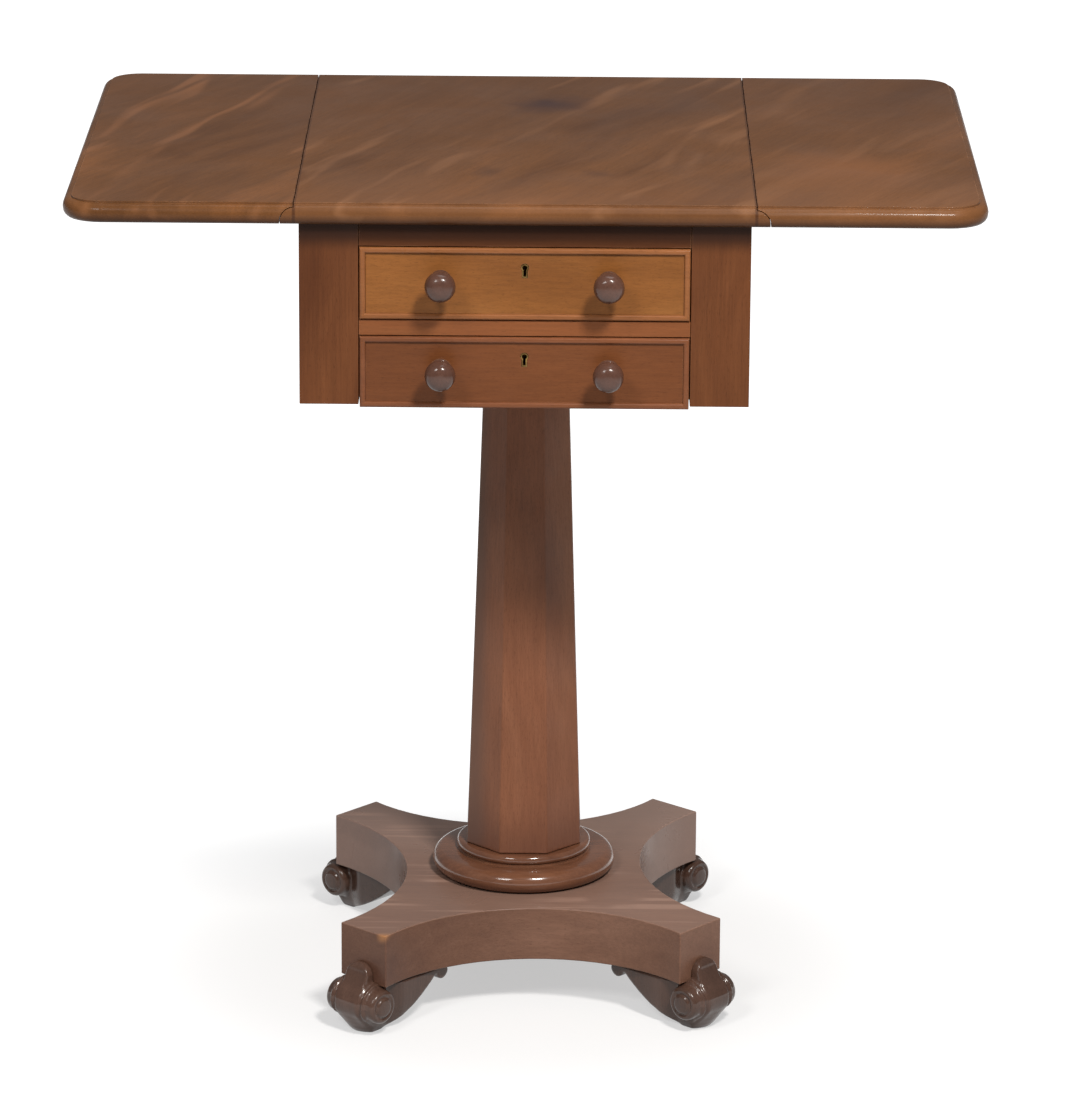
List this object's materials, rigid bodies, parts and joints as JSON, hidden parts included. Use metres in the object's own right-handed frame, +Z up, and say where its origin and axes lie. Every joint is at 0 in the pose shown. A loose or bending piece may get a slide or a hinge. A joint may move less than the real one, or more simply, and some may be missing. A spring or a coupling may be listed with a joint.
{
  "type": "work table",
  "caption": "Small drop-leaf table with drawers, fly brackets and rule joints, on a tapered octagonal pillar, a hollow-sided platform and scroll feet.",
  "frame": {"origin": "on the floor, below the middle of the whole table's box", "axes": "+X to the right as the drawers are faced, +Y to the back, +Z up; the drawer fronts face -Y"},
  "size_m": [0.732, 0.51, 0.724],
  "materials": {
    "mahogany": "aged mahogany, french polished",
    "drawer_mahogany": "lighter mahogany, french polished",
    "base_mahogany": "faded mahogany, waxed, rubbed at the edges",
    "knob_mahogany": "dark turned mahogany, glossy",
    "pine": "bare aged pine",
    "iron": "dark wrought iron",
    "brass": "aged brass"
  },
  "bodies": {
    "table": {"top_board": "mahogany", "hinge_board_plate_left_front": "iron", "hinge_board_plate_left_rear": "iron", "hinge_board_plate_right_front": "iron", "hinge_board_plate_right_rear": "iron", "top_rail": "mahogany", "drawer_divider": "mahogany", "back_board": "mahogany", "bottom_board": "pine", "front_stile_left": "mahogany", "front_stile_right": "mahogany", "side_board_left": "pine", "side_board_right": "pine", "drawer_runner_left": "pine", "drawer_runner_right": "pine", "drawer_guide_left": "pine", "drawer_guide_right": "pine", "fly_rail_left": "mahogany", "fly_rail_right": "mahogany", "bracket_pin_left": "iron", "bracket_pin_right": "iron", "pillar_cleat": "mahogany", "pillar": "base_mahogany", "pillar_collar": "base_mahogany", "platform": "base_mahogany", "scroll_foot_front_left": "base_mahogany", "scroll_foot_front_right": "base_mahogany", "scroll_foot_rear_left": "base_mahogany", "scroll_foot_rear_right": "base_mahogany"},
    "leaf_left": {"leaf_left": "mahogany", "hinge_leaf_plate_left_front": "iron", "hinge_leaf_plate_left_rear": "iron"},
    "leaf_right": {"leaf_right": "mahogany", "hinge_leaf_plate_right_front": "iron", "hinge_leaf_plate_right_rear": "iron"},
    "bracket_left": {"fly_bracket_left": "mahogany"},
    "bracket_right": {"fly_bracket_right": "mahogany"},
    "upper_drawer": {"upper_drawer_front": "drawer_mahogany", "upper_drawer_cock_bead": "mahogany", "upper_drawer_back": "pine", "upper_drawer_bottom": "pine", "upper_drawer_escutcheon": "brass", "upper_drawer_lock": "brass", "upper_drawer_side_left": "pine", "upper_drawer_side_right": "pine", "upper_drawer_knob_left": "knob_mahogany", "upper_drawer_knob_right": "knob_mahogany"},
    "lower_drawer": {"lower_drawer_front": "drawer_mahogany", "lower_drawer_cock_bead": "mahogany", "lower_drawer_back": "pine", "lower_drawer_bottom": "pine", "lower_drawer_escutcheon": "brass", "lower_drawer_lock": "brass", "lower_drawer_side_left": "pine", "lower_drawer_side_right": "pine", "lower_drawer_knob_left": "knob_mahogany", "lower_drawer_knob_right": "knob_mahogany"}
  },
  "joints": [
    {"name": "leaf_left_hinge", "type": "hinge", "parent": "table", "child": "leaf_left", "pos_m": [-0.182, 0.01, 0.7098], "axis": [0, -1, 0], "range_deg": [0, 90]},
    {"name": "leaf_right_hinge", "type": "hinge", "parent": "table", "child": "leaf_right", "pos_m": [0.182, 0.01, 0.7098], "axis": [0, 1, 0], "range_deg": [0, 90]},
    {"name": "bracket_left_pivot", "type": "hinge", "parent": "table", "child": "bracket_left", "pos_m": [-0.1695, 0.137, 0.673], "axis": [0, 0, 1], "range_deg": [-90, 0]},
    {"name": "bracket_right_pivot", "type": "hinge", "parent": "table", "child": "bracket_right", "pos_m": [0.1695, -0.117, 0.673], "axis": [0, 0, 1], "range_deg": [-90, 0]},
    {"name": "upper_drawer_slide", "type": "slide", "parent": "table", "child": "upper_drawer", "axis": [0, -1, 0], "range_m": [0, 0.25]},
    {"name": "lower_drawer_slide", "type": "slide", "parent": "table", "child": "lower_drawer", "axis": [0, -1, 0], "range_m": [0, 0.25]}
  ]
}
